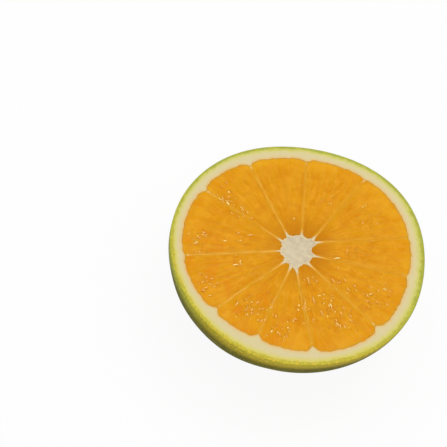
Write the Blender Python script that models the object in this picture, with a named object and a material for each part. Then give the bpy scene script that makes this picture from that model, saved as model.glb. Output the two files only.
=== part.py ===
"""Half of a sweet orange, cut straight across its segments and lying with the cut face up.

One closed solid. Its top is the cut: a star of pith at the core, eleven segments of flesh
between their membranes, a ring of white pith and the thin zest. Its side is the skin, which
rounds down to a small flat spot that the half rests on. Metres, +Z up, and the origin is
under the middle of the fruit, on the surface that it rests on.
"""

import math

import bmesh
import bpy

# Driving sizes of the fruit
PITH_RADIUS = 0.0363
ZEST_THICKNESS = 0.0015
FLESH_RADIUS = 0.0336
HALF_DEPTH = 0.0310
REST_RADIUS = 0.0080
POLE_LEAN = (-0.0030, 0.0010)
CUT_EDGE_ROUND = 0.0004

# How far each ring strays from a circle: waves round the fruit, height of a wave, its crest in degrees
PITH_WAVES = ((1, 0.00033, 107), (2, 0.00031, 41), (3, 0.00054, 54), (4, 0.00038, -34), (5, 0.00017, -21))
FLESH_WAVES = ((1, 0.00049, 54), (2, 0.00055, 27), (3, 0.00060, 61), (4, 0.00032, -39))
ZEST_WAVES = ((1, 0.00065, 15), (2, 0.00012, 44), (3, 0.00013, 5), (4, 0.00011, -2))

# The eleven membranes: direction at the rim and at the core in degrees, how far the pith
# reaches in at the rim end, and how far the core's point reaches out at the core end
MEMBRANES = (
    (7, 2, 0.0007, 0.0062),
    (30, 45, 0.0003, 0.0074),
    (69, 61, 0.0005, 0.0073),
    (101, 94, 0.0009, 0.0062),
    (133, 137, 0.0013, 0.0065),
    (163, 165, 0.0012, 0.0063),
    (205, 204, 0.0006, 0.0058),
    (239, 244, 0.0014, 0.0063),
    (265, 267, 0.0016, 0.0068),
    (294, 285, 0.0019, 0.0074),
    (331, 325, 0.0017, 0.0059),
)
CORE_RADIUS = 0.00455
CORE_WAVES = ((1, 0.00025, 141), (2, 0.00025, 110), (3, 0.00032, 92))
CORE_POINT_WIDTH = 0.00055
PITH_POINT_WIDTH = 0.0013

# Heights on the cut face, from the level of the pith
FLESH_CROWN = 0.00045
FLESH_EDGE = -0.00045
FLESH_ROLL = 0.0012
MEMBRANE_LEVEL = -0.00005
MEMBRANE_HALF_WIDTH = 0.00022
MEMBRANE_FOOT = 0.00050
CORE_DISH = 0.0005

# Skin: low lumps, as waves round the fruit, waves down its side, height and turn in degrees
SKIN_LUMPS = ((3, 2, 0.00022, 20), (5, 3, 0.00016, 100), (8, 5, 0.00010, 200))

# How finely the surface is divided
SPOKES_IN_FLESH = 8
FLESH_RINGS = 12
CORE_RINGS = 5
SKIN_RINGS = 15
REST_RINGS = 2
EDGE_RINGS = 3
PITH_RING_SHARES = (0.06, 0.5, 1)
PITH_EVENING = 0.3

SKIN, PITH, FLESH, CORE = range(4)


def waves_at(angle, waves):
    """Sum of the waves that bend a ring, at an angle round the fruit."""
    return sum(height * math.cos(count * (angle - math.radians(crest))) for count, height, crest in waves)


def mix(start, end, share):
    return start + (end - start) * share


def rolled(step, steps):
    """Share of the way for one of several steps that crowd together at both ends."""
    return (1 - math.cos(math.pi * step / steps)) / 2


def pith_radius(angle):
    return PITH_RADIUS + waves_at(angle, PITH_WAVES)


def cut_radius(angle):
    return pith_radius(angle) + ZEST_THICKNESS + waves_at(angle, ZEST_WAVES)


def flesh_radius(angle):
    return FLESH_RADIUS + waves_at(angle, FLESH_WAVES)


def core_edge(angle):
    """Where the core ends and the flesh starts, between the membranes."""
    return CORE_RADIUS + waves_at(angle, CORE_WAVES)


def membrane_ends(index):
    """The rim angle, core angle, reach of the pith and core radius of one membrane."""
    turns, place = divmod(index, len(MEMBRANES))
    rim, core, reach, core_radius = MEMBRANES[place]
    full_turn = 360 * turns
    return math.radians(rim + full_turn), math.radians(core + full_turn), reach, core_radius


def membrane_angle(index, share):
    """Direction of a membrane, a straight line from its core end (share 0) to its rim end (share 1)."""
    rim, core, reach, core_radius = membrane_ends(index)
    rim_radius = flesh_radius(rim) - reach
    across = mix(core_radius * math.sin(core - rim), 0, share)
    along = mix(core_radius * math.cos(core - rim), rim_radius, share)
    return rim + math.atan2(across, along)


def spoke_shares(arc):
    """Places of one segment's spokes, from one membrane to the next, as shares of the arc between them."""
    edges = [MEMBRANE_HALF_WIDTH / arc, MEMBRANE_FOOT / arc]
    steps = [rolled(step, SPOKES_IN_FLESH) for step in range(1, SPOKES_IN_FLESH)]
    flesh = [mix(edges[-1], 1 - edges[-1], step) for step in steps]
    return [0] + edges + flesh + [1 - share for share in reversed(edges)]


def segment_ends(index, share):
    """Radii at which the flesh of a segment starts and ends, at a share of its width."""
    near, far = membrane_ends(index), membrane_ends(index + 1)
    angle = mix(near[0], far[0], share)
    outer = flesh_radius(angle)
    rim_width = outer * (far[0] - near[0])
    core_width = CORE_RADIUS * (far[1] - near[1])
    between_points = core_edge(mix(near[1], far[1], share))
    inner = between_points
    for end, gap in ((near, share), (far, 1 - share)):
        outer -= end[2] * math.exp(-(gap * rim_width / PITH_POINT_WIDTH) ** 1.5)
        inner += (end[3] - between_points) * math.exp(-gap * core_width / CORE_POINT_WIDTH)
    return inner, outer


def flesh_height(side_gap, end_gap):
    """Height of the flesh, which swells up from its edges, or of the membrane where the gap is small."""
    if side_gap < MEMBRANE_HALF_WIDTH * 1.01:
        return MEMBRANE_LEVEL
    gap = min(side_gap - MEMBRANE_HALF_WIDTH, end_gap)
    return mix(FLESH_EDGE, FLESH_CROWN, 1 - math.exp(-gap / FLESH_ROLL))


def flesh_ring(share):
    """One ring of points across all the segments, from the core (share 0) to the pith (share 1)."""
    points = []
    for index in range(len(MEMBRANES)):
        start, end = membrane_angle(index, share), membrane_angle(index + 1, share)
        arc = mix(*segment_ends(index, 0.5), share) * (end - start)
        for across in spoke_shares(arc):
            inner, outer = segment_ends(index, across)
            radius = mix(inner, outer, share)
            side_gap = min(across, 1 - across) * arc
            end_gap = min(radius - inner, outer - radius)
            points.append((mix(start, end, across), radius, flesh_height(side_gap, end_gap)))
    return points


def flesh_rings():
    """Rings of the flesh, closer together at the core and at the pith, where it rolls over."""
    return [flesh_ring(rolled(step, FLESH_RINGS)) for step in range(FLESH_RINGS + 1)]


def even_angle(spoke, spokes):
    """Direction of a spoke when all of them are the same distance apart."""
    return math.radians(MEMBRANES[0][0]) + 2 * math.pi * spoke / spokes


def core_rings(first_flesh):
    """Rings from the middle of the core, which is dished a little, out to the flesh."""
    rings = []
    for step in range(1, CORE_RINGS + 1):
        share = step / CORE_RINGS
        ring = []
        for spoke, point in enumerate(first_flesh):
            direction = mix(even_angle(spoke, len(first_flesh)), point[0], share ** 2)
            ring.append((direction, point[1] * share, -CORE_DISH * (1 - share ** 2)))
        rings.append(ring)
    return rings


def pith_rings(last_flesh):
    """Rings of the pith, from the flesh to the zest, with the spokes starting to spread evenly."""
    spokes = len(last_flesh)
    rings = []
    for share in PITH_RING_SHARES:
        ring = []
        for spoke, point in enumerate(last_flesh):
            direction = mix(point[0], even_angle(spoke, spokes), PITH_EVENING * share)
            ring.append((direction, mix(point[1], pith_radius(direction), share), 0))
        rings.append(ring)
    return rings


def skin_lump(angle, share):
    """Unevenness of the skin at an angle round the fruit and a share of the way down; none at the ends."""
    fade = math.sin(math.pi * min(share * 1.15, 1))
    height = 0
    for round_count, down_count, size, turn in SKIN_LUMPS:
        height += size * math.cos(round_count * angle + down_count * math.pi * share + math.radians(turn))
    return height * fade


def skin_rings(last_pith):
    """Rings from the zest's inner edge, over the rounded cut edge and down the side to the resting spot.

    The body is an ellipsoid whose lowest part is flattened, so it is drawn a little deeper than it is.
    """
    spokes = len(last_pith)
    mean_radius = PITH_RADIUS + ZEST_THICKNESS
    rest_share = math.acos(REST_RADIUS / mean_radius)
    body_depth = HALF_DEPTH / math.sin(rest_share)
    directions = [point[0] for point in last_pith]
    rings = []
    for step in range(EDGE_RINGS + 1):
        turn = math.pi / 2 * step / EDGE_RINGS
        back, drop = CUT_EDGE_ROUND * (1 - math.sin(turn)), CUT_EDGE_ROUND * (1 - math.cos(turn))
        rings.append([(angle, cut_radius(angle) - back, -drop) for angle in directions])
    first_share = math.asin(CUT_EDGE_ROUND / body_depth)
    for step in range(1, SKIN_RINGS + 1):
        share = step / SKIN_RINGS
        slope = mix(first_share, rest_share, share)
        ring = []
        for spoke, start in enumerate(directions):
            angle = mix(start, even_angle(spoke, spokes), min(1, 2 * share))
            spread = mix(cut_radius(angle), mean_radius, share ** 3) * math.cos(slope)
            ring.append((angle, spread + skin_lump(angle, share), -body_depth * math.sin(slope)))
        rings.append(ring)
    return rings


def rest_rings(last_skin):
    """Rings of the flat resting spot, inside its edge."""
    rings = []
    for step in range(REST_RINGS, 0, -1):
        share = step / (REST_RINGS + 1)
        rings.append([(angle, radius * share, height) for angle, radius, height in last_skin])
    return rings


def ring_point(point):
    """A ring's point in X, Y and Z. The fruit leans, so the middle of a low ring is off the core's axis."""
    angle, radius, height = point
    drop = max(0, -height - CUT_EDGE_ROUND) / HALF_DEPTH
    x = radius * math.cos(angle) + POLE_LEAN[0] * drop
    y = radius * math.sin(angle) + POLE_LEAN[1] * drop
    return x, y, height + HALF_DEPTH


def box_middle(rings):
    """Middle of the fruit's outline in X and Y, from the widest rings."""
    points = [ring_point(point) for ring in rings for point in ring]
    return [(min(values) + max(values)) / 2 for values in list(zip(*points))[:2]]


def make_material(name, color, roughness):
    material = bpy.data.materials.new(name)
    material.use_nodes = True
    shader = material.node_tree.nodes["Principled BSDF"]
    shader.inputs["Base Color"].default_value = (*color, 1)
    shader.inputs["Roughness"].default_value = roughness
    shader.inputs["Metallic"].default_value = 0
    return material


def make_half():
    """The half as one mesh: every ring joined to the next, and both ends closed at a point."""
    flesh = flesh_rings()
    core = core_rings(flesh[0])
    pith = pith_rings(flesh[-1])
    skin = skin_rings(pith[-1])
    rest = rest_rings(skin[-1])
    finishes = [CORE] * len(core) + [FLESH] * len(flesh) + [PITH] * len(pith)
    finishes += [SKIN] * (len(skin) + len(rest))
    rings = core + flesh + pith + skin + rest
    middle_x, middle_y = box_middle(skin)

    mesh = bpy.data.meshes.new("orange_half")
    bm = bmesh.new()

    def add_point(x, y, z):
        return bm.verts.new((x - middle_x, y - middle_y, z))

    loops = [[add_point(*ring_point(point)) for point in ring] for ring in rings]
    core_middle = add_point(0, 0, HALF_DEPTH - CORE_DISH)
    rest_middle = add_point(POLE_LEAN[0], POLE_LEAN[1], 0)
    spokes = len(loops[0])
    for inner, outer, finish in zip(loops, loops[1:], finishes[1:]):
        for spoke in range(spokes):
            after = (spoke + 1) % spokes
            face = bm.faces.new((inner[spoke], outer[spoke], outer[after], inner[after]))
            face.material_index = finish
    for spoke in range(spokes):
        after = (spoke + 1) % spokes
        bm.faces.new((core_middle, loops[0][spoke], loops[0][after])).material_index = CORE
        bm.faces.new((rest_middle, loops[-1][after], loops[-1][spoke])).material_index = SKIN
    bmesh.ops.recalc_face_normals(bm, faces=bm.faces)
    bm.to_mesh(mesh)
    bm.free()

    half = bpy.data.objects.new("orange_half", mesh)
    bpy.context.scene.collection.objects.link(half)
    mesh.materials.append(make_material("waxy_zest", (0.36, 0.33, 0.05), 0.45))
    mesh.materials.append(make_material("white_pith", (0.76, 0.66, 0.36), 0.8))
    mesh.materials.append(make_material("juicy_flesh", (0.76, 0.33, 0.02), 0.35))
    mesh.materials.append(make_material("core_pith", (0.71, 0.61, 0.43), 0.8))
    mesh.shade_smooth()
    mesh.set_sharp_from_angle(angle=math.radians(50))
    return half


for leftover in list(bpy.data.objects):
    bpy.data.objects.remove(leftover)
make_half()
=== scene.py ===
"""Half of a sweet orange with a thin yellow-green rind, cut face up: the finish of every surface.

The rind is a bowl of zest and pith. Eleven segments of juice sacs stand in it round a pillar of
core pith, with papery membranes between them. Metres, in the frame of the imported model.
"""
import math

import bmesh
import bpy
import numpy as np
from mathutils import Matrix, Vector
from mathutils.bvhtree import BVHTree


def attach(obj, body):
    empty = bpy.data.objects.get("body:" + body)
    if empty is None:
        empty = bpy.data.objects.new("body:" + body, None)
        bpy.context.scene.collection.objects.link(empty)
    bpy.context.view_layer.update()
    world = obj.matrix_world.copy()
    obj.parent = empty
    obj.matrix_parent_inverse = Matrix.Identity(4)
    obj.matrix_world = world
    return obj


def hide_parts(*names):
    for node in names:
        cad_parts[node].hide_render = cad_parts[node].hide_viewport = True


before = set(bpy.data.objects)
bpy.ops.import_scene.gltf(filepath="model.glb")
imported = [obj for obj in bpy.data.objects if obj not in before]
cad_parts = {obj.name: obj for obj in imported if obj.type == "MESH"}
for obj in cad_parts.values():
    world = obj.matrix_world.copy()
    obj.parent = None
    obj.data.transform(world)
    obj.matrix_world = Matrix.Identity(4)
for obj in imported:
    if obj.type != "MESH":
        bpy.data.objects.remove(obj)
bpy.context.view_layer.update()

MM = 0.001
NODE = "orange_half"

# The fruit's own sizes, as its solid has them
PITH_RADIUS = 36.3 * MM
ZEST_THICKNESS = 1.5 * MM
FLESH_RADIUS = 33.6 * MM
HALF_DEPTH = 31.0 * MM
REST_RADIUS = 8.0 * MM
POLE_LEAN = np.array((-3.0, 1.0)) * MM
CUT_EDGE_ROUND = 0.4 * MM

# Waves that bend each ring of the cut: waves round the fruit, height in mm, crest in degrees
PITH_WAVES = ((1, 0.33, 107), (2, 0.31, 41), (3, 0.54, 54), (4, 0.38, -34), (5, 0.17, -21))
FLESH_WAVES = ((1, 0.49, 54), (2, 0.55, 27), (3, 0.60, 61), (4, 0.32, -39))
ZEST_WAVES = ((1, 0.65, 15), (2, 0.12, 44), (3, 0.13, 5), (4, 0.11, -2))
CORE_WAVES = ((1, 0.25, 141), (2, 0.25, 110), (3, 0.32, 92))

# The membranes: direction at the rim and at the core in degrees, reach of the pith at the rim,
# radius of the core's point, and how far the two skins of the membrane part, in mm
MEMBRANES = (
    (7, 2, 0.7, 6.2, 0.1),
    (30, 45, 0.3, 7.4, 0.2),
    (69, 61, 0.5, 7.3, 0.3),
    (101, 94, 0.9, 6.2, 0.2),
    (133, 137, 1.3, 6.5, 0.2),
    (163, 165, 1.2, 6.3, 0.3),
    (205, 204, 0.6, 5.8, 0.4),
    (239, 244, 1.4, 6.3, 0.2),
    (265, 267, 1.6, 6.8, 0.2),
    (294, 285, 1.9, 7.4, 0.8),
    (331, 325, 1.7, 5.9, 1.0),
)
# Across a membrane: which of its two skins, how far out from the skin's middle, and the height in mm,
# from the crest, or from the cut for the two feet
MEMBRANE_FOOT = -3.0
MEMBRANE_PROFILE = (
    (-1, -1, MEMBRANE_FOOT),
    (-1, -0.9, -0.2),
    (-1, -0.5, -0.04),
    (-1, 0, 0),
    (0, 0, 0),
    (1, 0, 0),
    (1, 0.5, -0.04),
    (1, 0.9, -0.2),
    (1, 1, MEMBRANE_FOOT),
)
# How clearly each membrane shows on the cut away from the core, from 0 to 1
MEMBRANE_SHOWS = (0.2, 0.2, 0.2, 0.35, 0.8, 0.7, 0.9, 1.0, 0.7, 0.8, 0.5)
# Length over which the membranes fade to that, and how far they run into the core and the pith
MEMBRANE_CLEAR = 7.0 * MM
MEMBRANE_IN_CORE = 1.6 * MM
MEMBRANE_IN_PITH = 0.8 * MM
CORE_RADIUS = 4.55 * MM
CORE_POINT_WIDTH = 0.65 * MM
PITH_POINT_WIDTH = 1.3 * MM

# Ripples where single sacs end at the pith and at the core: waves round the fruit, height in mm, crest
RIM_RIPPLES = ((37, 0.06, 0), (61, 0.06, 2), (97, 0.05, 1))
CORE_RIPPLES = ((17, 0.11, 5), (29, 0.08, 3), (43, 0.05, 1))

# Patches of torn sacs on the cut, in mm: X and Y from the core, spread, and then the number of marks
TORN_PATCHES = (
    (-25, 9, 2.5, 14),
    (-19, 6, 2.5, 7),
    (-28, -7, 3.2, 18),
    (-16, -3, 3.5, 8),
    (-22, -21, 3.2, 16),
    (-14, -12, 3.0, 6),
    (-6, -23, 4.0, 24),
    (2, -29, 4.5, 16),
    (7, -20, 3.5, 16),
    (14, -14, 3.5, 20),
    (6, -8, 1.8, 9),
    (13, -6, 3.0, 8),
    (18, -19, 4.5, 16),
    (21, -7, 3.5, 9),
    (29, -5, 3.5, 11),
    (15, 6, 4.0, 5),
    (17, 20, 4.5, 7),
    (-1, 22, 6.0, 7),
)

# How tightly marks keep to their patch, and how far from the core and from the pith they stay
PATCH_SPREAD = 0.65
CORE_CLEAR = 6.5 * MM
RIM_CLEAR = 1.2 * MM
# The shares of the marks that are torn skins and that are drops of juice
TORN_SHARE = 0.80
DROP_SHARE = 0.55
# The dent beside each mark: its radius and depth, its flat middle in radii, and how far off it lies
TORN_RADIUS = 0.55 * MM
TORN_DEPTH = 0.05 * MM
TORN_FLAT = 0.3
TORN_SHIFT = 0.3 * MM
# How far the marks turn from the line to the core, and lean, in radians
MARK_TURN = 0.45
MARK_LEAN = 0.25
# Powers that make most marks short, and most of them dark
MOSTLY_SHORT = 1.8
MOSTLY_DARK = 1.5

# The crest of a membrane, in mm: half its width, how much more at the core and at the rim, how far
# each of these reaches, its rise over the pith, and how deep and how far it sinks at the rim
CREST_HALF = 0.28
CREST_AT_CORE = 0.26
CREST_AT_RIM = 0.30
FLARE_AT_CORE = 1.0
FLARE_AT_RIM = 0.8
CREST_RISE = 0.03
CREST_SINK = 0.2
SINK_AT_RIM = 0.5
# Waves along a membrane: radians from the core to the rim, and height in mm
SLOW_WOBBLE = (9, 0.12)
FAST_WOBBLE = (23, 0.072)
CREST_RIPPLE = (17, 0.05)
# How the parting of its two skins comes and goes: radians, and share
PARTING_WAVE = (5, 1)
# The valley between a membrane's two skins, in mm: half its least width, its most depth, and the half
# widths at which it starts to show and fully shows
LEAST_PARTING = 0.03
VALLEY_DEPTH = 0.2
VALLEY_SHOWS = (0.075, 0.225)

# Relief of the cut, from the level of the pith, and how far the pieces run into each other
FLESH_CROWN = 0.28 * MM
FLESH_EDGE = -0.08 * MM
FLESH_ROLL = 1.2 * MM
CORE_DISH = 0.45 * MM
OVERLAP = 0.15 * MM
PITH_LAP = 0.12 * MM
SIDE_MARGIN = -0.02 * MM

# Low lumps of the skin: waves round the fruit, waves down its side, height in mm, turn in degrees
SKIN_LUMPS = ((3, 2, 0.22, 20), (5, 3, 0.16, 100), (8, 5, 0.10, 200))
# The share of the way down that has them
LUMPED_SHARE = 0.87
RIND_AT_POLE = 5.0 * MM
SCAR_RADIUS = 1.3 * MM
SCAR_DEPTH = 0.35 * MM
# Stands for a place that is far from an edge of the cut, in mm
FAR = 50.0

# Streaks in the flesh, in mm
FIBRE_WIDTH = 1.5
FIBRE_LENGTH = 6.5

# How much slower the colours of the cut change where the zest is a millimetre thicker
ZEST_STRETCH = 0.17

# How rough the waxy skin and the dry cut pith are
SKIN_ROUGHNESS = 0.42
CUT_ROUGHNESS = 0.85

# Grid sizes of the fine meshes
SKIN_SPOKES = 640
SKIN_STEP = 0.37 * MM
SAC_STEP = 0.25 * MM
SEGMENT_COLUMNS = 96
FEWEST_COLUMNS = 24
MEMBRANE_STEP = 0.35 * MM
RING_STEPS = 18
CORE_RINGS = 20
POINTS_PER_SEGMENT = 33
FEWEST_SPOKES = 70
# The narrowest cells: a row whose cells would be narrower has half as many
SKIN_CELL = 0.55 * SKIN_STEP
SAC_CELL = 0.5 * SAC_STEP
# Steps of the rounded cut edge, from the skin at 1 to the cut at 0, as shares of a quarter turn
EDGE_TURNS = (1.0, 0.7, 0.4, 0.0)
# The pith's inner edge: how far back and how far down from the cut, in mm
WALL_EDGE = ((0.03, 0.06), (0.0, 0.2), (0.0, 0.8), (0.0, 2.0))
# Rings of the core's side just below the cut, in mm
CORE_EDGE = (0.3, 1.2)
# Rings below the cut, as shares of the way to the pole
WALL_SHARES = (0.15, 0.3, 0.5, 0.7, 0.85)
SEGMENT_SHARES = (0.03, 0.3, 0.6, 0.85)
CORE_SHARES = (0.3, 0.6, 0.85)

# Camera, in the photograph's frame of 447 by 447 pixels
FRAME_PIXELS = 447
CORE_PIXEL = (297.5, 250.5)
FOCAL_PIXELS = 1560
SENSOR_MM = 36
CAMERA_ELEVATION = 57
CAMERA_ROLL = 19
CAMERA_DISTANCE = 456 * MM

# Light: where the lamps aim, the white sky, and the floor's own glow, which the camera sees most of
LIGHT_TARGET = Vector((0, 0, 0.02))
SKY_STRENGTH = 0.82
FLOOR_HALF = 3.0
PAPER_GLOW = 1.09
PAPER_GLOW_SHARE = 0.84


def mix(start, end, share):
    """The value at a share of the way from start to end."""
    return start + (end - start) * share


def waves_at(angle, waves):
    """Sum of the waves that bend a ring, at an angle round the fruit."""
    return sum(
        height * MM * np.cos(count * (angle - math.radians(crest)))
        for count, height, crest in waves
    )


def pith_radius(angle):
    """Where the pith ends and the zest starts, at an angle round the fruit."""
    return PITH_RADIUS + waves_at(angle, PITH_WAVES)


def cut_radius(angle):
    """The outline of the cut, at an angle round the fruit."""
    return pith_radius(angle) + ZEST_THICKNESS + waves_at(angle, ZEST_WAVES)


def flesh_radius(angle):
    """Where the flesh ends and the pith starts, between the membranes."""
    return FLESH_RADIUS + waves_at(angle, FLESH_WAVES)


def core_edge(angle):
    """Where the core ends and the flesh starts, between the membranes."""
    return CORE_RADIUS + waves_at(angle, CORE_WAVES)


def core_place():
    """Where the core's axis meets the cut: the frame's origin is under the middle of the outline."""
    angle = np.linspace(0, 2 * math.pi, 720)
    x = cut_radius(angle) * np.cos(angle)
    y = cut_radius(angle) * np.sin(angle)
    return -(x.min() + x.max()) / 2, -(y.min() + y.max()) / 2


CORE_X, CORE_Y = core_place()
MEAN_RADIUS = PITH_RADIUS + ZEST_THICKNESS
REST_SLOPE = math.acos(REST_RADIUS / MEAN_RADIUS)
BODY_DEPTH = HALF_DEPTH / math.sin(REST_SLOPE)
INNER_DEPTH = BODY_DEPTH - RIND_AT_POLE


def to_place(angle, radius, height):
    """Points in X, Y and Z. The fruit leans, so the middle of a low ring is off the core's axis."""
    angle, radius, height = np.broadcast_arrays(angle, radius, height)
    drop = np.maximum(0, -height - CUT_EDGE_ROUND) / HALF_DEPTH
    x = CORE_X + radius * np.cos(angle) + POLE_LEAN[0] * drop
    y = CORE_Y + radius * np.sin(angle) + POLE_LEAN[1] * drop
    return np.stack([x, y, height + HALF_DEPTH], -1)


def membrane_ends(index):
    """Rim angle, core angle, reach of the pith, core radius and parting of one membrane."""
    turns, place = divmod(index, len(MEMBRANES))
    rim, core, reach, core_radius, parting = MEMBRANES[place]
    full_turn = 360 * turns
    angles = math.radians(rim + full_turn), math.radians(core + full_turn)
    return *angles, reach * MM, core_radius * MM, parting * MM


def membrane_line(index, share):
    """Angle and radius along a membrane, a straight line from the core, share 0, to the rim, share 1."""
    rim, core, reach, core_radius, _ = membrane_ends(index)
    across = mix(core_radius * math.sin(core - rim), 0, share)
    along = mix(core_radius * math.cos(core - rim), flesh_radius(rim) - reach, share)
    return rim + np.arctan2(across, along), np.hypot(across, along)


def segment_ends(index, share):
    """Radii at which the flesh of a segment starts and ends, at a share of its width."""
    near, far = membrane_ends(index), membrane_ends(index + 1)
    rim_angle = mix(near[0], far[0], share)
    outer = flesh_radius(rim_angle) + waves_at(rim_angle, RIM_RIPPLES)
    core_angle = mix(near[1], far[1], share)
    between_points = core_edge(core_angle)
    inner = between_points + waves_at(core_angle, CORE_RIPPLES)
    rim_width = FLESH_RADIUS * (far[0] - near[0])
    core_width = CORE_RADIUS * (far[1] - near[1])
    # At each membrane the pith reaches in as a rounded point, and the core reaches out as a sharp one
    for end, gap in ((near, np.maximum(share, 0)), (far, np.maximum(1 - share, 0))):
        outer = outer - end[2] * np.exp(-(gap * rim_width / PITH_POINT_WIDTH) ** 1.5)
        inner = inner + (end[3] - between_points) * np.exp(-gap * core_width / CORE_POINT_WIDTH)
    return inner, outer


def ends_round(angle, at_rim):
    """Where the pith starts at the rim, or else where the core ends, at angles all the way round."""
    edge = np.zeros_like(angle)
    for index in range(len(MEMBRANES)):
        near, far = membrane_ends(index), membrane_ends(index + 1)
        start, end = (near[0], far[0]) if at_rim else (near[1], far[1])
        share = ((angle - start) % (2 * math.pi)) / (end - start)
        inside = share < 1
        inner, outer = segment_ends(index, share[inside])
        edge[inside] = outer if at_rim else inner
    return edge


# Meshes from rows of points

def bridge(first, first_count, second, second_count, closed):
    """Faces between two rows of points, where the longer row may have twice as many steps."""
    if second_count > first_count:
        return [face[::-1] for face in bridge(second, second_count, first, first_count, closed)]
    spans = second_count if closed else second_count - 1
    faces = []
    if first_count == second_count:
        for step in range(spans):
            after = (step + 1) % second_count
            faces.append((first + step, first + after, second + after, second + step))
        return faces
    for step in range(spans):
        after = (step + 1) % second_count
        start, middle, end = 2 * step, 2 * step + 1, (2 * step + 2) % first_count
        faces.append((first + start, first + middle, second + step))
        faces.append((first + middle, second + after, second + step))
        faces.append((first + middle, first + end, second + after))
    return faces


class Piece:
    """Points and faces of one piece while it is being made, with the numbers kept at each point."""

    def __init__(self, *numbers):
        self.points = []
        self.faces = []
        self.numbers = {name: [] for name in numbers}

    def add_row(self, points, **numbers):
        """Adds a row of points and returns the index of its first, and how many there are."""
        start = sum(len(row) for row in self.points)
        self.points.append(points)
        for name, rows in self.numbers.items():
            rows.append(np.broadcast_to(numbers.get(name, 0.0), len(points)))
        return start, len(points)

    def join(self, rows, closed=True):
        """Adds the faces between each row and the next."""
        for first, second in zip(rows, rows[1:]):
            self.faces += bridge(*first, *second, closed)

    def fan(self, row, point, **numbers):
        """Closes a ring of points with one point in its middle."""
        middle, _ = self.add_row(np.array([point]), **numbers)
        start, count = row
        for step in range(count):
            self.faces.append((middle, start + step, start + (step + 1) % count))

    def make(self, name):
        """The finished mesh as an object, with its faces turned outwards."""
        mesh = bpy.data.meshes.new(name)
        mesh.from_pydata(np.concatenate(self.points).tolist(), [], self.faces)
        for key, rows in self.numbers.items():
            attribute = mesh.attributes.new(key, "FLOAT", "POINT")
            attribute.data.foreach_set("value", np.concatenate(rows).astype(np.float32))
        if self.faces:
            turn_outwards(mesh)
        mesh.shade_smooth()
        piece = bpy.data.objects.new(name, mesh)
        bpy.context.scene.collection.objects.link(piece)
        return piece


def turn_outwards(mesh):
    """Turns every face of a closed mesh outwards."""
    bm = bmesh.new()
    bm.from_mesh(mesh)
    bmesh.ops.recalc_face_normals(bm, faces=bm.faces)
    bm.to_mesh(mesh)
    bm.free()


def skin_lump(angle, share):
    """Unevenness of the skin at an angle round the fruit and a share of the way down."""
    fade = np.sin(math.pi * np.minimum(share / LUMPED_SHARE, 1))
    height = 0
    for round_count, down_count, size, turn in SKIN_LUMPS:
        phase = round_count * angle + down_count * math.pi * share + math.radians(turn)
        height = height + size * MM * np.cos(phase)
    return height * fade


def ring_angles(count):
    """Angles of evenly spread points, once round."""
    return np.arange(count) * 2 * math.pi / count


def make_rind():
    """The bowl of zest and pith: the skin, the rounded cut edge, the cut ring and the wall inside."""
    rind = Piece("skin_depth", "flesh_gap", "skin", "pith", "drop", "pole_gap")
    rows = rest_rows(rind) + skin_rows(rind) + edge_rows(rind) + cut_rows(rind) + wall_rows(rind)
    rind.join(rows)
    rind.fan(rows[0], to_place(0, 0, -HALF_DEPTH + SCAR_DEPTH), skin=1.0, flesh_gap=FAR, drop=FAR)
    rind.fan(rows[-1], to_place(0, 0, -INNER_DEPTH - OVERLAP), skin_depth=FAR, pole_gap=FAR)
    return rind.make("rind")


def rest_rows(rind):
    """Rings of the flat spot, from the small scar at the pole outwards."""
    rows = []
    steps = int(REST_RADIUS / SKIN_STEP)
    for step in range(1, steps):
        radius = REST_RADIUS * step / steps
        count = SKIN_SPOKES // (8 if radius > REST_RADIUS / 2 else 16)
        # The scar is a dimple with a flat floor and steep sides
        rise = SCAR_DEPTH * math.exp(-(radius / SCAR_RADIUS) ** 4)
        place = to_place(ring_angles(count), radius, -HALF_DEPTH + rise)
        rows.append(rind.add_row(place, skin=1.0, flesh_gap=FAR, drop=FAR, pole_gap=radius / MM))
    return rows


def skin_rows(rind):
    """Rings of the skin, from the flat spot up to the cut."""
    first_slope = math.asin(CUT_EDGE_ROUND / BODY_DEPTH)
    # The skin's profile is part of an oval, which is measured by its mean radius
    skin_length = math.hypot(MEAN_RADIUS, BODY_DEPTH) / math.sqrt(2) * (REST_SLOPE - first_slope)
    steps = int(skin_length / SKIN_STEP)
    rows = []
    for step in range(steps, 0, -1):
        share = step / steps
        slope = mix(first_slope, REST_SLOPE, share)
        level = MEAN_RADIUS * math.cos(slope)
        count = SKIN_SPOKES
        while count > FEWEST_SPOKES and level * 2 * math.pi / count < SKIN_CELL:
            count //= 2
        angle = ring_angles(count)
        # The outline of the cut is kept high up, and turns to a circle near the flat spot
        spread = mix(cut_radius(angle), MEAN_RADIUS, share ** 3) * math.cos(slope)
        spread = spread + skin_lump(angle, share)
        drop = BODY_DEPTH * math.sin(slope)
        place = to_place(angle, spread, -drop)
        rows.append(rind.add_row(
            place, skin=1.0, flesh_gap=FAR, drop=drop / MM, pole_gap=level / MM))
    return rows


def edge_rows(rind):
    """Rings of the rounded edge between the skin and the cut."""
    angle = ring_angles(SKIN_SPOKES)
    rows = []
    for turn in EDGE_TURNS:
        back = CUT_EDGE_ROUND * (1 - math.sin(turn * math.pi / 2))
        drop = CUT_EDGE_ROUND * (1 - math.cos(turn * math.pi / 2))
        place = to_place(angle, cut_radius(angle) - back, -drop)
        depth = max(0, back - drop) / MM
        rows.append(rind.add_row(place, skin_depth=depth, flesh_gap=FAR, drop=drop / MM, pole_gap=FAR))
    return rows


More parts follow.
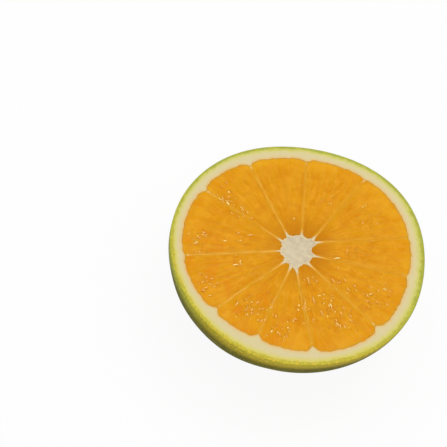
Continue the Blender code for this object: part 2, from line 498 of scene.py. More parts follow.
def cut_rows(rind):
    """Rings of the cut through zest and pith, from the rounded edge in to the flesh."""
    angle = ring_angles(SKIN_SPOKES)
    rim = cut_radius(angle)
    edge = ends_round(angle, at_rim=True)
    thicker = (rim - pith_radius(angle) - ZEST_THICKNESS) / MM
    rows = []
    for step in range(1, RING_STEPS + 1):
        radius = mix(rim - CUT_EDGE_ROUND, edge + PITH_LAP, step / RING_STEPS)
        gap = (radius - edge) / MM
        depth = (rim - radius) / MM * (1 - ZEST_STRETCH * thicker)
        place = to_place(angle, radius, 0)
        rows.append(rind.add_row(place, skin_depth=depth, flesh_gap=gap, pith=1.0, pole_gap=FAR))
    return rows


def wall_rows(rind):
    """Rings of the wall inside the rind, from the pith's edge down to the pole."""
    angle = ring_angles(SKIN_SPOKES)
    edge = ends_round(angle, at_rim=True)
    rows = []
    for back, drop in WALL_EDGE:
        points = to_place(angle, edge + back * MM, -drop * MM)
        rows.append(rind.add_row(points, skin_depth=FAR, pole_gap=FAR))
    count = SKIN_SPOKES
    for share in WALL_SHARES:
        if count > FEWEST_SPOKES:
            count //= 2
        angle = ring_angles(count)
        slope = share * math.pi / 2
        radius = ends_round(angle, at_rim=True) * math.cos(slope)
        points = to_place(angle, radius, -INNER_DEPTH * math.sin(slope) - OVERLAP)
        rows.append(rind.add_row(points, skin_depth=FAR, pole_gap=FAR))
    return rows


def deepen(piece, angle, radius, shares):
    """Rings that carry an outline of the cut down the fruit towards the pole."""
    rows = []
    for share in shares:
        slope = share * math.pi / 2
        points = to_place(angle, radius * math.cos(slope), -INNER_DEPTH * math.sin(slope))
        rows.append(piece.add_row(points))
    return rows


def flesh_height(side_gap, end_gap):
    """Height of the flesh, which swells up from its edges."""
    gap = np.maximum(0, np.minimum(side_gap, end_gap))
    return mix(FLESH_EDGE, FLESH_CROWN, 1 - np.exp(-gap / FLESH_ROLL))


def make_segment(index):
    """One segment: its cut face as a fine grid that narrows to the core, and a wedge below it."""
    piece = Piece("across", "along", "side_gap", "core_gap", "rim_gap", "cut")
    inner_middle, outer_middle = segment_ends(index, 0.5)
    steps = int((outer_middle - inner_middle) / SAC_STEP)
    rows = []
    edges = []
    for step in range(steps + 1):
        share = step / steps
        start, end = membrane_line(index, share)[0], membrane_line(index + 1, share)[0]
        arc = mix(inner_middle, outer_middle, share) * (end - start)
        columns = SEGMENT_COLUMNS
        while arc / columns < SAC_CELL and columns > FEWEST_COLUMNS:
            columns //= 2
        margin = SIDE_MARGIN / arc
        across = np.linspace(margin, 1 - margin, columns + 1)
        inner, outer = segment_ends(index, across)
        radius = mix(inner - OVERLAP, outer + OVERLAP, share)
        angle = mix(start, end, across)
        side_gap = np.minimum(across, 1 - across) * arc
        height = flesh_height(side_gap, np.minimum(radius - inner, outer - radius))
        rows.append(piece.add_row(
            to_place(angle, radius, height),
            across=(across - 0.5) * (end - start) * FLESH_RADIUS / MM,
            along=radius / MM,
            side_gap=side_gap / MM,
            core_gap=(radius - inner) / MM,
            rim_gap=(outer - radius) / MM,
            cut=1.0,
        ))
        edges.append((angle, radius))
    piece.join(rows, closed=False)
    close_below(piece, rows, edges)
    return piece.make(f"segment_{index + 1}")


def close_below(piece, rows, edges):
    """Carries the outline of a segment's cut face down to the pole."""
    last = len(rows) - 1
    outline = [(0, column) for column in range(rows[0][1])]
    outline += [(row, rows[row][1] - 1) for row in range(1, last)]
    outline += [(last, column) for column in reversed(range(rows[last][1]))]
    outline += [(row, 0) for row in reversed(range(1, last))]
    top = [rows[row][0] + column for row, column in outline]
    angle = np.array([edges[row][0][column] for row, column in outline])
    radius = np.array([edges[row][1][column] for row, column in outline])
    lower = deepen(piece, angle, radius, SEGMENT_SHARES)
    start, count = lower[0]
    for step in range(count):
        after = (step + 1) % count
        piece.faces.append((top[step], top[after], start + after, start + step))
    piece.join(lower)
    piece.fan(lower[-1], to_place(0, 0, -INNER_DEPTH))


def make_membranes(seed):
    """The papery membranes between the segments, from the core out into the pith."""
    piece = Piece("from_core", "from_rim", "valley", "shows")
    chance = np.random.default_rng(seed)
    for index in range(len(MEMBRANES)):
        add_membrane(piece, index, chance.uniform(0, 2 * math.pi, 4))
    return piece.make("membranes")


def wave_along(share, wave, turn):
    """Height of a wave at shares of a membrane's length, from its radians, its height and its start."""
    radians, height = wave
    return height * np.sin(radians * share + turn)


def add_membrane(piece, index, turns):
    """One membrane: a thin wall with a rounded crest, which splits in two where its skins part."""
    rim, _, reach, core_radius, parting = membrane_ends(index)
    length = flesh_radius(rim) - reach - core_radius
    steps = int(length / MEMBRANE_STEP)
    share = np.linspace(-MEMBRANE_IN_CORE / length, 1 + MEMBRANE_IN_PITH / length, steps)
    angle, radius = membrane_line(index, share)
    from_core = share * length / MM
    from_rim = np.maximum(0, 1 - share) * length / MM
    bend = np.sin(math.pi * np.clip(share, 0, 1))
    wobble = wave_along(share, SLOW_WOBBLE, turns[0]) + wave_along(share, FAST_WOBBLE, turns[1])
    half = CREST_HALF + CREST_AT_CORE * np.exp(-np.maximum(0, from_core) / FLARE_AT_CORE)
    half = half + CREST_AT_RIM * np.exp(-from_rim / FLARE_AT_RIM)
    open_share = bend * (1 + wave_along(share, PARTING_WAVE, turns[2])) / 2
    part = LEAST_PARTING + open_share * parting / MM / 2
    ripple = wave_along(share, CREST_RIPPLE, turns[3])
    crest = CREST_RISE + ripple - CREST_SINK * np.exp(-from_rim / SINK_AT_RIM)
    dip = np.minimum(part / 2, VALLEY_DEPTH)
    valley = np.interp(part, VALLEY_SHOWS, (0, 1))
    clear = mix(1, MEMBRANE_SHOWS[index], np.clip(from_core * MM / MEMBRANE_CLEAR, 0, 1))
    rows = []
    # Across the wall, from the left foot over both crests to the right foot
    for side, out, height in MEMBRANE_PROFILE:
        offset = (wobble * bend + side * part + out * half) * MM
        base = 0 if height == MEMBRANE_FOOT else crest - dip * (1 - abs(side))
        rows.append(piece.add_row(
            to_place(angle + offset / radius, radius, (base + height) * MM),
            from_core=from_core,
            from_rim=from_rim,
            valley=valley * (1 - abs(side)),
            shows=clear,
        ))
    piece.join(rows + rows[:1], closed=False)
    for end in (0, rows[0][1] - 1):
        piece.faces.append(tuple(row[0] + end for row in rows))


def make_core():
    """The pillar of core pith: a star with a point at each membrane, a little dished."""
    piece = Piece("edge_gap", "cut")
    angle = ring_angles(POINTS_PER_SEGMENT * len(MEMBRANES))
    edge = ends_round(angle, at_rim=False)
    rows = []
    for step in range(1, CORE_RINGS + 1):
        share = step / CORE_RINGS
        # Dished, and turned down just at its edge, to lie under the flesh
        height = -CORE_DISH * (1 - share ** 2) - PITH_LAP * share ** 12
        gap = edge * (1 - share) / MM
        rows.append(piece.add_row(to_place(angle, edge * share, height), edge_gap=gap, cut=1.0))
    for drop in CORE_EDGE:
        rows.append(piece.add_row(to_place(angle, edge, -drop * MM)))
    rows += deepen(piece, angle, edge, CORE_SHARES)
    piece.join(rows)
    piece.fan(rows[0], to_place(0, 0, -CORE_DISH), edge_gap=CORE_RADIUS / MM, cut=1.0)
    piece.fan(rows[-1], to_place(0, 0, -INNER_DEPTH))
    return piece.make("core")


def top_of(pieces):
    """A search tree of all faces of some pieces, to find how high their tops are."""
    points = []
    faces = []
    for piece in pieces:
        start = len(points)
        points += [vertex.co.copy() for vertex in piece.data.vertices]
        faces += [[start + vertex for vertex in face.vertices] for face in piece.data.polygons]
    return BVHTree.FromPolygons(points, faces)


def torn_places(seed, share):
    """Places on the cut for torn sacs, thickest where the photograph shows most of them."""
    chance = np.random.default_rng(seed)
    places = []
    for middle_x, middle_y, spread, count in TORN_PATCHES:
        number = round(count * share)
        for x, y in chance.normal((middle_x, middle_y), PATCH_SPREAD * spread, (number, 2)) * MM:
            if CORE_CLEAR < math.hypot(x, y) < flesh_radius(math.atan2(y, x)) - RIM_CLEAR:
                places.append((x, y))
    return np.array(places)


def open_sacs(segment, places, seed):
    """Dents the cut face beside each torn sac, and keeps how near each point is to a dent."""
    mesh = segment.data
    points = np.empty(3 * len(mesh.vertices))
    mesh.vertices.foreach_get("co", points)
    points = points.reshape(-1, 3)
    on_cut = np.empty(len(points), np.float32)
    mesh.attributes["cut"].data.foreach_get("value", on_cut)
    beside = places + np.random.default_rng(seed).normal(0, TORN_SHIFT, places.shape)
    apart = points[:, None, :2] - (beside + (CORE_X, CORE_Y))
    nearest = np.hypot(apart[..., 0], apart[..., 1]).min(1)
    torn = on_cut * np.clip(1 + TORN_FLAT - nearest / TORN_RADIUS, 0, 1)
    points[:, 2] -= TORN_DEPTH * torn
    mesh.vertices.foreach_set("co", points.ravel())
    attribute = mesh.attributes.new("torn", "FLOAT", "POINT")
    attribute.data.foreach_set("value", torn.astype(np.float32))


def make_marks(name, surface, places, seed, longs, wides, highs):
    """A point for each small body on the flesh, with the body's size and turn."""
    chance = np.random.default_rng(seed)
    piece = Piece("long", "wide", "high", "turn", "roll", "pitch", "tint")
    for x, y in places:
        above = Vector((CORE_X + x, CORE_Y + y, 2 * HALF_DEPTH))
        top = surface.ray_cast(above, Vector((0, 0, -1)))[0]
        roll, pitch = chance.normal(0, MARK_LEAN, 2)
        piece.add_row(
            np.array([top[:]]),
            long=mix(*longs, chance.random() ** MOSTLY_SHORT) * MM,
            wide=chance.uniform(*wides) * MM,
            high=chance.uniform(*highs) * MM,
            turn=math.atan2(y, x) + chance.normal(0, MARK_TURN),
            roll=roll,
            pitch=pitch,
            tint=chance.random() ** MOSTLY_DARK,
        )
    return piece.make(name)


# Node trees

def add_node(tree, kind, links=None, **settings):
    """Adds a node to a tree. Links set its inputs, by name or number, to sockets or values."""
    node = tree.nodes.new(kind)
    for name, value in settings.items():
        setattr(node, name, value)
    for key, value in (links or {}).items():
        if isinstance(value, bpy.types.NodeSocket):
            tree.links.new(value, node.inputs[key])
        else:
            node.inputs[key].default_value = value
    return node


def amount(tree, *factors):
    """Multiplies sockets, values, and numbers that the mesh keeps at each point, given by name."""
    result = None
    for factor in factors:
        if isinstance(factor, str) and tree.type == "GEOMETRY":
            read = add_node(tree, "GeometryNodeInputNamedAttribute", {"Name": factor}, data_type="FLOAT")
            factor = read.outputs["Attribute"]
        elif isinstance(factor, str):
            factor = add_node(tree, "ShaderNodeAttribute", attribute_name=factor).outputs["Fac"]
        if result is not None:
            both = add_node(tree, "ShaderNodeMath", {0: result, 1: factor}, operation="MULTIPLY")
            factor = both.outputs[0]
        result = factor
    return result


# Geometry trees

def new_tree(name, **sizes):
    """A geometry tree with a mesh and a material coming in, and one named number for each size."""
    tree = bpy.data.node_groups.new(name, "GeometryNodeTree")
    tree.is_modifier = True
    tree.interface.new_socket(name="Mesh", in_out="INPUT", socket_type="NodeSocketGeometry")
    tree.interface.new_socket(name="Mesh", in_out="OUTPUT", socket_type="NodeSocketGeometry")
    tree.interface.new_socket(name="Material", in_out="INPUT", socket_type="NodeSocketMaterial")
    for size, value in sizes.items():
        kind = "NodeSocketInt" if isinstance(value, int) else "NodeSocketFloat"
        tree.interface.new_socket(name=size, in_out="INPUT", socket_type=kind).default_value = value
    return tree, add_node(tree, "NodeGroupInput").outputs


def end_tree(tree, given, mesh, offset, **numbers):
    """Ends a tree: keeps numbers for the material, moves the points, and sets the material."""
    for name, value in numbers.items():
        stored = add_node(tree, "GeometryNodeStoreNamedAttribute", {
            "Geometry": mesh, "Name": name, "Value": value}, data_type="FLOAT", domain="POINT")
        mesh = stored.outputs[0]
    moved = add_node(tree, "GeometryNodeSetPosition", {"Geometry": mesh, "Offset": offset.outputs[0]})
    real = add_node(tree, "GeometryNodeRealizeInstances", {0: moved.outputs[0]})
    finished = add_node(tree, "GeometryNodeSetMaterial", {
        "Geometry": real.outputs[0], "Material": given["Material"]})
    add_node(tree, "NodeGroupOutput", {0: finished.outputs[0]})
    return tree


def run_tree(piece, tree, material, **sizes):
    """Runs a geometry tree on a piece and keeps the result as the piece's plain mesh."""
    modifier = piece.modifiers.new(tree.name, "NODES")
    modifier.node_group = tree
    values = {"Material": material, **sizes}
    for item in tree.interface.items_tree:
        if item.in_out == "INPUT" and item.name in values:
            modifier[item.identifier] = values[item.name]
    depsgraph = bpy.context.evaluated_depsgraph_get()
    mesh = bpy.data.meshes.new_from_object(piece.evaluated_get(depsgraph), depsgraph=depsgraph)
    piece.modifiers.clear()
    piece.data = mesh
    mesh.shade_smooth()


def sponge(tree, pores_per_metre, detail, roughness, *heights):
    """Height of spongy pith above and below its level, times each of the heights given."""
    pores = add_node(tree, "ShaderNodeTexNoise", {
        "Scale": pores_per_metre, "Detail": detail, "Roughness": roughness})
    middle = add_node(tree, "ShaderNodeMath", {0: pores.outputs[0], 1: 0.5}, operation="SUBTRACT")
    return amount(tree, middle.outputs[0], *heights)


def peel_tree():
    """Oil glands: beads just under the skin that pit it, and open pits where the knife cut them."""
    tree, given = new_tree(
        "peel_pits", spacing=0.95 * MM, most_per_square_metre=2.4e6, gland_depth=0.35 * MM,
        gland_size=0.50 * MM, flat_share=0.62, pit_depth=0.17 * MM, open_depth=0.18 * MM,
        pith_pores_per_metre=900.0, pith_relief=0.10 * MM, seed=5)
    skin = amount(tree, "skin")
    points = add_node(tree, "GeometryNodeDistributePointsOnFaces", {
        "Mesh": given["Mesh"], "Selection": skin, "Distance Min": given["spacing"],
        "Density Max": given["most_per_square_metre"], "Seed": given["seed"]},
        distribute_method="POISSON")
    inward = add_node(tree, "ShaderNodeVectorMath", {
        0: points.outputs["Normal"], "Scale": amount(tree, given["gland_depth"], -1.0)},
        operation="SCALE")
    glands = add_node(tree, "GeometryNodeSetPosition", {
        "Geometry": points.outputs["Points"], "Offset": inward.outputs[0]})
    nearest = add_node(tree, "GeometryNodeProximity", {0: glands.outputs[0]}, target_element="POINTS")
    flat = amount(tree, given["gland_size"], given["flat_share"])
    gland = add_node(tree, "ShaderNodeMapRange", {
        "Value": nearest.outputs["Distance"], "From Min": flat, "From Max": given["gland_size"],
        "To Min": 1.0, "To Max": 0.0}, interpolation_type="SMOOTHSTEP")
    depth = add_node(tree, "ShaderNodeMapRange", {
        "Value": skin, "To Min": given["open_depth"], "To Max": given["pit_depth"]})
    pit = amount(tree, gland.outputs[0], depth.outputs[0])
    relief = sponge(tree, given["pith_pores_per_metre"], 3.0, 0.6, "pith", given["pith_relief"])
    rise = add_node(tree, "ShaderNodeMath", {0: relief, 1: pit}, operation="SUBTRACT")
    normal = add_node(tree, "GeometryNodeInputNormal")
    offset = add_node(tree, "ShaderNodeVectorMath", {
        0: normal.outputs[0], "Scale": rise.outputs[0]}, operation="SCALE")
    return end_tree(tree, given, given["Mesh"], offset, gland=gland.outputs[0])


def sac_tree():
    """Juice sacs: long cells that run from rim to core, each crowned, and lower where two meet."""
    tree, given = new_tree(
        "juice_sacs", sac_width=2.2, sac_length=8.0, sac_height=0.13 * MM, bends=0.9, wander=0.9,
        dome_width=0.40, mean_level=1.1, level_side=0.6, segment=1.0)
    flat = add_node(tree, "ShaderNodeCombineXYZ", {
        0: amount(tree, "across"), 1: amount(tree, "along"), 2: given["segment"]})
    size = add_node(tree, "ShaderNodeCombineXYZ", {
        0: given["sac_width"], 1: given["sac_length"], 2: 1.0})
    place = add_node(tree, "ShaderNodeVectorMath", {
        0: flat.outputs[0], 1: size.outputs[0]}, operation="DIVIDE")
    bend = add_node(tree, "ShaderNodeTexNoise", {
        "Vector": place.outputs[0], "Scale": given["bends"], "Detail": 2.0})
    reach = add_node(tree, "ShaderNodeCombineXYZ", {0: given["wander"], 1: given["wander"]})
    bent = add_node(tree, "ShaderNodeVectorMath", {
        0: bend.outputs["Color"], 1: reach.outputs[0], 2: place.outputs[0]}, operation="MULTIPLY_ADD")
    cells, walls = (
        add_node(tree, "ShaderNodeTexVoronoi", {
            "Vector": bent.outputs[0], "Scale": 1.0}, feature=feature)
        for feature in ("F1", "DISTANCE_TO_EDGE")
    )
    dome = add_node(tree, "ShaderNodeMapRange", {
        "Value": walls.outputs["Distance"], "From Max": given["dome_width"]},
        interpolation_type="SMOOTHSTEP")
    tint = add_node(tree, "ShaderNodeSeparateXYZ", {0: cells.outputs["Color"]})
    level = add_node(tree, "ShaderNodeMath", {0: tint.outputs[0], 1: dome.outputs[0]}, operation="ADD")
    middle = add_node(tree, "ShaderNodeMath", {
        0: level.outputs[0], 1: given["mean_level"]}, operation="SUBTRACT")
    inside = add_node(tree, "ShaderNodeMapRange", {
        "Value": amount(tree, "side_gap"), "From Max": given["level_side"]})
    height = amount(tree, middle.outputs[0], given["sac_height"], inside.outputs[0], "cut")
    offset = add_node(tree, "ShaderNodeCombineXYZ", {2: height})
    return end_tree(
        tree, given, given["Mesh"], offset, sac_dome=dome.outputs[0], sac_tint=tint.outputs[1])


def core_tree():
    """Spongy pith of the core: soft pits and threads on the cut."""
    tree, given = new_tree("core_sponge", pores_per_metre=700.0, relief=0.22 * MM)
    height = sponge(tree, given["pores_per_metre"], 4.0, 0.65, given["relief"], "cut")
    offset = add_node(tree, "ShaderNodeCombineXYZ", {2: height})
    return end_tree(tree, given, given["Mesh"], offset)


def scatter_tree():
    """Small uneven bodies on the cut: one at each point, with the size and turns that it keeps."""
    tree, given = new_tree("scatter", around=10, rings=6, lumps_per_metre=2600.0, unevenness=0.5 * MM)
    body = add_node(tree, "GeometryNodeMeshUVSphere", {
        "Segments": given["around"], "Rings": given["rings"]})
    size, turn = (
        add_node(tree, "ShaderNodeCombineXYZ", {
            part: amount(tree, name) for part, name in enumerate(names)})
        for names in (("long", "wide", "high"), ("roll", "pitch", "turn"))
    )
    bodies = add_node(tree, "GeometryNodeInstanceOnPoints", {
        "Points": given["Mesh"], "Instance": body.outputs[0], "Rotation": turn.outputs[0],
        "Scale": size.outputs[0]})
    real = add_node(tree, "GeometryNodeRealizeInstances", {0: bodies.outputs[0]})
    lumps = add_node(tree, "ShaderNodeTexNoise", {"Scale": given["lumps_per_metre"], "Detail": 1.0})
    middle = add_node(tree, "ShaderNodeVectorMath", {
        0: lumps.outputs["Color"], 1: (0.5, 0.5, 0.5)}, operation="SUBTRACT")
    offset = add_node(tree, "ShaderNodeVectorMath", {
        0: middle.outputs[0], "Scale": given["unevenness"]}, operation="SCALE")
    return end_tree(tree, given, real.outputs[0], offset)


# Materials: grain, gaps, drops and depths are in mm, and every share is from 0 to 1

def linear(hex_color):
    """An sRGB hex colour as linear red, green, blue and alpha."""
    parts = [int(hex_color[start:start + 2], 16) / 255 for start in (1, 3, 5)]
    turned = [part / 12.92 if part <= 0.04045 else ((part + 0.055) / 1.055) ** 2.4 for part in parts]
    return *turned, 1.0


def new_material(name, ior, specular, roughness=0.5, subsurface=0.0, radius_mm=(1.0, 1.0, 1.0)):
    """A Principled material, its tree and its shader, with what is the same all over set there."""
    material = bpy.data.materials.new(name)
    material.use_nodes = True
    tree = material.node_tree
    shader = tree.nodes["Principled BSDF"]
    shader.inputs["Roughness"].default_value = roughness
    shader.inputs["IOR"].default_value = ior
    shader.inputs["Specular IOR Level"].default_value = specular
    shader.inputs["Subsurface Weight"].default_value = subsurface
    shader.inputs["Subsurface Radius"].default_value = radius_mm
    shader.inputs["Subsurface Scale"].default_value = MM
    return material, tree, shader


def grain(tree, size_mm, detail=3.0):
    """Noise over the piece, with patches of a real size."""
    place = add_node(tree, "ShaderNodeTexCoord").outputs["Object"]
    noise = add_node(tree, "ShaderNodeTexNoise", {
        "Vector": place, "Scale": 1 / (size_mm * MM), "Detail": detail})
    return noise.outputs[0]


def towards(tree, degrees):
    """Distance from the middle of the fruit in a level direction."""
    place = add_node(tree, "ShaderNodeTexCoord").outputs["Object"]
    turn = math.radians(degrees)
    node = add_node(tree, "ShaderNodeVectorMath", {
        0: place, 1: (math.cos(turn), math.sin(turn), 0)}, operation="DOT_PRODUCT")
    return node.outputs["Value"]


def where(tree, value, low, high):
    """A soft step from 0 to 1 as a socket, or a number that the mesh keeps, goes from low to high."""
    node = add_node(tree, "ShaderNodeMapRange", {
        "Value": amount(tree, value), "From Min": low, "From Max": high},
        interpolation_type="SMOOTHSTEP")
    return node.outputs[0]


def paint(tree, ground, *coats):
    """Lays coats of colour on a ground. A coat is how much of it shows, as shares, and its colour."""
    for *shares, color in coats:
        ground, color = (linear(each) if isinstance(each, str) else each for each in (ground, color))
        coat = add_node(tree, "ShaderNodeMix", {
            0: amount(tree, *shares), 6: ground, 7: color}, data_type="RGBA")
        ground = coat.outputs[2]
    return ground


def roughen(tree, shader, size_mm, strength, height):
    """Fine relief, too small for the mesh."""
    bump = add_node(tree, "ShaderNodeBump", {
        "Height": grain(tree, size_mm), "Strength": strength, "Distance": height})
    tree.links.new(bump.outputs[0], shader.inputs["Normal"])


def peel_material():
    """Fresh citrus rind, cut with a knife: waxy, pitted zest over dry, spongy pith.

    To the eye the skin has a soft gloss and mottled yellow and green, with painted light and shade
    in its colour, and the cut goes from green at the skin through pale yellow to dull cream.
    """
    material, tree, shader = new_material(
        "waxy_citrus_peel", ior=1.45, specular=0.12, subsurface=0.12, radius_mm=(0.6, 0.5, 0.2))
    far_side = where(tree, towards(tree, 80), -34 * MM, 10 * MM)
    specks = where(tree, grain(tree, 0.7, detail=1.0), 0.35, 0.65)
    skin = skin_color(tree, far_side, specks)
    tree.links.new(rind_cut_color(tree, skin, far_side, specks), shader.inputs["Base Color"])
    matte = add_node(tree, "ShaderNodeMapRange", {
        "Value": amount(tree, "skin_depth"), "From Max": 1.2, "To Min": SKIN_ROUGHNESS,
        "To Max": CUT_ROUGHNESS}, interpolation_type="SMOOTHSTEP")
    tree.links.new(matte.outputs[0], shader.inputs["Roughness"])
    roughen(tree, shader, size_mm=0.8, strength=0.5, height=0.25 * MM)
    return material


def skin_color(tree, far_side, specks):
    """The skin, from its lower part up to the bright band at the cut, with glands, flecks and scar, and
    with light and shade painted into its colour.
    """
    # Towards the near right the skin is yellower and lighter, partly its own tint and partly painted
    # light; towards the left it is greener, and lower down darker and greyer, which is painted shade
    yellow_and_lit_side = where(tree, towards(tree, 288), 24 * MM, 36 * MM)
    lime_and_shaded_side = where(tree, towards(tree, 198), 24 * MM, 35 * MM)
    patches = where(tree, grain(tree, 17.0, detail=2.0), 0.32, 0.66)
    mottles = where(tree, grain(tree, 2.6), 0.35, 0.65)
    painted_glints = where(tree, grain(tree, 0.7, detail=1.0), 0.60, 0.70)
    brown_flecks = where(tree, grain(tree, 2.0, detail=1.0), 0.76, 0.79)
    # The far side's skin, without the painted shade that darkens the near side
    behind = paint(tree, "#7a7e0e", (patches, "#9c9014"))
    lower = paint(tree, "#80820c", (patches, "#aa9812"))
    middle = paint(
        tree, "#9a8f14",
        (mottles, "#b29a12"),
        (yellow_and_lit_side, "#c2aa22"),
        (0.8, lime_and_shaded_side, "#a0a628"),
    )
    bright = paint(
        tree, "#cfb82e",
        (far_side, "#a2a234"),
        (yellow_and_lit_side, "#ead042"),
        (0.8, lime_and_shaded_side, "#ccce46"),
        (0.6, specks, "#a9a428"),
    )
    # Painted shade: the dark olive ground darkens the near side of the skin a few mm below the cut; the
    # behind coat lifts it on the far side, the lower coat further down
    return paint(
        tree, "#6e690a",
        (patches, "#7d7308"),
        (far_side, behind),
        (where(tree, "drop", 9.0, 18.0), lower),
        (0.4, mottles, "#6a6a08"),
        (0.3, specks, "#9c962e"),
        # Painted highlights: small pale glints that stand in for the skin's waxy shine
        (0.5, painted_glints, "#c2b652"),
        # Painted shade: a darker, greyer olive on the left side of the skin
        (0.5, lime_and_shaded_side, "#686c20"),
        # Lighter towards the cut: partly the paler zest at the edge, partly painted light
        (where(tree, "drop", 5.2, 2.8), middle),
        (where(tree, "drop", 3.5, 1.2), bright),
        (0.5, "gland", "#545606"),
        (brown_flecks, where(tree, "drop", 4.0, 6.0), "#5c4a18"),
        (where(tree, "pole_gap", 2.2, 1.0), "#8a7440"),
    )


def rind_cut_color(tree, skin, far_side, specks):
    """The cut rind: zest with juicy glands, paler below, then cream pith that is warm at the flesh."""
    juicy = where(tree, grain(tree, 2.2, detail=2.0), 0.50, 0.62)
    zest = paint(
        tree, "#d3bd42",
        (far_side, "#a9ae4a"),
        (0.6, juicy, "#c9c640"),
        (0.6, specks, "#aca83a"),
        (0.6, "gland", "#868c2c"),
    )
    under_zest = paint(tree, "#dacc6c", (far_side, "#ccc864"))
    ragged = amount(tree, grain(tree, 1.6), 1.3)
    depth = add_node(tree, "ShaderNodeMath", {
        0: amount(tree, "skin_depth"), 1: ragged}, operation="ADD").outputs[0]
    return paint(
        tree, skin,
        (where(tree, "skin_depth", 0.02, 0.35), zest),
        (where(tree, depth, 1.3, 2.0), under_zest),
        (where(tree, depth, 1.8, 2.8), "#d9cd8a"),
        (where(tree, depth, 2.5, 3.5), "#dacb9a"),
        (where(tree, "flesh_gap", 1.2, 0.0), "#e3be7a"),
    )


def flesh_material():
    """Juice sacs cut open: thin-skinned, wet and translucent.

    To the eye light spreads inside them, in streaks of amber that run to the core, under a soft shine.
    Shade is painted in as darker amber round the core and in the dents beside torn sacs.
    """
    material, tree, shader = new_material(
        "wet_juice_sacs", ior=1.36, specular=0.07, roughness=0.32,
        subsurface=0.35, radius_mm=(2.0, 0.9, 0.1))
    place = add_node(tree, "ShaderNodeCombineXYZ", {
        0: amount(tree, "across", 1 / FIBRE_WIDTH),
        1: amount(tree, "along", 1 / FIBRE_LENGTH)})
    fibres = add_node(tree, "ShaderNodeTexNoise", {
        "Vector": place.outputs[0], "Scale": 1.0, "Detail": 2.0})
    streaks = where(tree, fibres.outputs[0], 0.38, 0.68)
    streaky = where(tree, grain(tree, 11.0, detail=1.0), 0.38, 0.58)
    ripe_patches = where(tree, grain(tree, 5.0), 0.52, 0.60)
    ripe_side = where(tree, towards(tree, 235), 4 * MM, 30 * MM)
    near_rim = paint(tree, "#df940c", (where(tree, grain(tree, 7.0), 0.42, 0.62), "#e8a71c"))
    # Painted shade: darker amber round the core, strongest on the upper right, as if the flesh tips lay
    # in shadow beside the core
    shaded = add_node(tree, "ShaderNodeMapRange", {
        "Value": towards(tree, 50), "From Min": -10 * MM, "From Max": 4 * MM,
        "To Min": 0.3, "To Max": 0.9})
    color = paint(
        tree, "#d88d0a",
        ("sac_tint", "#dc970e"),
        (streaks, streaky, "#e29a16"),
        (0.5, where(tree, grain(tree, 2.4, detail=2.0), 0.50, 0.66), "#e8a322"),
        (0.4, where(tree, grain(tree, 3.1, detail=2.0), 0.50, 0.66), "#d0820a"),
        (0.65, where(tree, "rim_gap", 8.0, 1.0), near_rim),
        (0.45, ripe_patches, ripe_side, "#e0830a"),
        (0.14, where(tree, "sac_dome", 0.5, 0.0), "#efb03c"),
        (where(tree, "rim_gap", 0.6, 0.0), "#d99a2c"),
        (where(tree, "core_gap", 9.0, 0.5), shaded.outputs[0], "#c87d0a"),
        (0.45, where(tree, "side_gap", 0.9, 0.0), "#ecab30"),
        # Painted shade: darker amber in the dents beside the torn sacs
        (0.28, "torn", "#c27a08"),
    )
    tree.links.new(color, shader.inputs["Base Color"])
    roughen(tree, shader, size_mm=0.6, strength=0.15, height=0.2 * MM)
    return material


def torn_sac_and_glint_material():
    """Torn skin of a juice sac, wet and glossy; its pale colour is partly a painted highlight, so it
    shows as a light fleck like a glint.
    """
    material, tree, shader = new_material("torn_sac_skin_and_glint", ior=1.45, specular=1.0, roughness=0.18)
    # Painted highlight: the pale colour stands in for glints on wet torn sacs, besides their real
    # paleness
    color = paint(tree, "#f4a634", ("tint", "#ffe47c"))
    tree.links.new(color, shader.inputs["Base Color"])
    return material


def juice_material():
    """Juice standing in opened sacs: amber and very glossy, so each drop has a small highlight; the
    paler drops are also painted lighter, like a glint.
    """
    material, tree, shader = new_material("juice_drop", ior=1.5, specular=1.0, roughness=0.08)
    # Painted highlight, besides the real gloss: the tint lightens drops towards a glint's pale yellow
    color = paint(tree, "#ee9f1c", ("tint", "#ffd052"))
    tree.links.new(color, shader.inputs["Base Color"])
    return material


def membrane_material():
    """Segment membrane: a thin, damp skin that shows as a paler line, cream where it leaves the core."""
    material, tree, shader = new_material("papery_membrane", ior=1.4, specular=0.05, roughness=0.35)
    line = paint(tree, "#e09a1e", (where(tree, grain(tree, 5.0), 0.35, 0.60), "#efb048"))
    color = paint(
        tree, "#de9512",
        ("shows", line),
        (where(tree, "from_core", 2.0, 0.2), "#e6b868"),
        (where(tree, "from_core", 0.9, -0.5), "#ddcba4"),
        (where(tree, "from_rim", 1.6, 0.0), "#e8cf92"),
        ("valley", "#dc9614"),
    )
    tree.links.new(color, shader.inputs["Base Color"])
    return material


def core_material():
    """Core pith: dry, spongy and almost white, with a creamier rim."""
    material, tree, shader = new_material(
        "spongy_core_pith", ior=1.4, specular=0.5, roughness=0.8,
        subsurface=0.25, radius_mm=(1.2, 1.0, 0.7))
    color = paint(
        tree, "#ccbb9f",
        (where(tree, grain(tree, 1.6), 0.35, 0.65), "#d6c9a8"),
        (where(tree, "edge_gap", 0.7, 0.1), "#ecd3a0"),
    )
    tree.links.new(color, shader.inputs["Base Color"])
    return material


def paper_material():
    """White paper on a light table, which lights itself more to the camera than onto the fruit.

    To the eye it is almost evenly white, with a faint shadow, and the skin above it stays dark.
    """
    material, tree, shader = new_material("white_paper", ior=1.3, specular=0.0, roughness=0.9)
    shader.inputs["Base Color"].default_value = linear("#b4b4b4")
    glow = add_node(tree, "ShaderNodeEmission", {"Color": linear("#ffffff"), "Strength": PAPER_GLOW})
    seen = add_node(tree, "ShaderNodeLightPath").outputs["Is Camera Ray"]
    both = add_node(tree, "ShaderNodeMixShader", {
        0: amount(tree, seen, PAPER_GLOW_SHARE), 1: shader.outputs[0], 2: glow.outputs[0]})
    tree.links.new(both.outputs[0], tree.nodes["Material Output"].inputs["Surface"])
    return material


# Stage

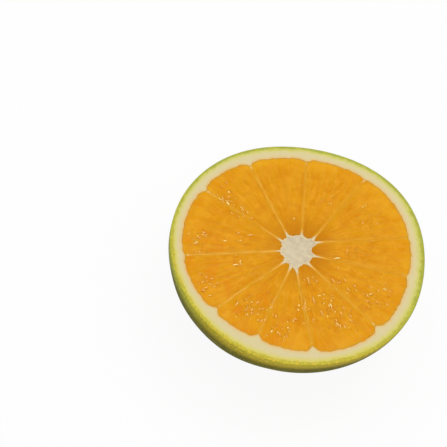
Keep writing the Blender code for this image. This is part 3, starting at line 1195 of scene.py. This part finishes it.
def aim_camera():
    """The photograph's view, from the near side: rolled, and turned to put the core in its place."""
    data = bpy.data.cameras.new("camera")
    data.sensor_width = SENSOR_MM
    data.lens = FOCAL_PIXELS / FRAME_PIXELS * SENSOR_MM
    data.clip_start = 0.01
    camera = bpy.data.objects.new("camera", data)
    bpy.context.scene.collection.objects.link(camera)
    tilt = math.radians(CAMERA_ELEVATION)
    back = Vector((0, -math.cos(tilt), math.sin(tilt)))
    right = Vector((1, 0, 0))
    basis = Matrix((right, right.cross(-back), back)).transposed()
    roll = Matrix.Rotation(math.radians(CAMERA_ROLL), 3, "Z")
    across = (CORE_PIXEL[0] - FRAME_PIXELS / 2) / FOCAL_PIXELS
    down = (CORE_PIXEL[1] - FRAME_PIXELS / 2) / FOCAL_PIXELS
    pan = Vector((across, -down, -1)).rotation_difference(Vector((0, 0, -1))).to_matrix()
    target = Vector((CORE_X, CORE_Y, HALF_DEPTH))
    turned = basis @ roll @ pan
    camera.matrix_world = Matrix.Translation(target + back * CAMERA_DISTANCE) @ turned.to_4x4()
    bpy.context.scene.camera = camera


def add_light(name, place, size, watts):
    """A square soft light that shines at the fruit."""
    data = bpy.data.lights.new(name, "AREA")
    data.size = size
    data.energy = watts
    light = bpy.data.objects.new(name, data)
    light.location = place
    light.rotation_euler = (LIGHT_TARGET - Vector(place)).to_track_quat("-Z", "Y").to_euler()
    bpy.context.scene.collection.objects.link(light)


def set_stage():
    """A white floor under an even white sky, and two soft lights above, a little to the far side."""
    scene = bpy.context.scene
    scene.view_settings.view_transform = "Standard"
    scene.world = bpy.data.worlds.new("studio")
    scene.world.use_nodes = True
    sky = scene.world.node_tree.nodes["Background"]
    sky.inputs["Color"].default_value = linear("#ffffff")
    sky.inputs["Strength"].default_value = SKY_STRENGTH
    add_light("key", (0.12, 0.25, 1.05), size=0.3, watts=2.4)
    add_light("fill", (-0.5, 0.3, 1.0), size=0.8, watts=0.6)
    corners = [(x * FLOOR_HALF, y * FLOOR_HALF, 0) for x, y in ((-1, -1), (1, -1), (1, 1), (-1, 1))]
    mesh = bpy.data.meshes.new("floor")
    mesh.from_pydata(corners, [], [(0, 1, 2, 3)])
    mesh.materials.append(paper_material())
    floor = bpy.data.objects.new("floor", mesh)
    scene.collection.objects.link(floor)


def dress(piece):
    """Rides a piece on the fruit's one body and hides the solid that it stands for."""
    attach(piece, "root")
    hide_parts(NODE)


# The stage, and then the fruit, piece by piece

set_stage()
aim_camera()

rind = make_rind()
run_tree(rind, peel_tree(), peel_material())
dress(rind)

sacs = sac_tree()
flesh = flesh_material()
sac_places = torn_places(seed=3, share=TORN_SHARE)
drop_places = torn_places(seed=4, share=DROP_SHARE)
segments = []
for index in range(len(MEMBRANES)):
    segment = make_segment(index)
    run_tree(segment, sacs, flesh, segment=7.0 * index)
    open_sacs(segment, np.concatenate([sac_places, drop_places]), seed=9)
    dress(segment)
    segments.append(segment)

surface = top_of(segments)
scatter = scatter_tree()
# Torn sacs, pale partly as painted highlights
torn_sacs = make_marks(
    "torn_sacs", surface, sac_places, seed=5,
    longs=(0.2, 1.35), wides=(0.11, 0.29), highs=(0.05, 0.12))
run_tree(torn_sacs, scatter, torn_sac_and_glint_material())
dress(torn_sacs)
juice_drops = make_marks(
    "juice_drops", surface, drop_places, seed=6,
    longs=(0.15, 0.6), wides=(0.12, 0.28), highs=(0.04, 0.09))
run_tree(juice_drops, scatter, juice_material())
dress(juice_drops)

membranes = make_membranes(seed=11)
membranes.data.materials.append(membrane_material())
dress(membranes)

core = make_core()
run_tree(core, core_tree(), core_material())
dress(core)
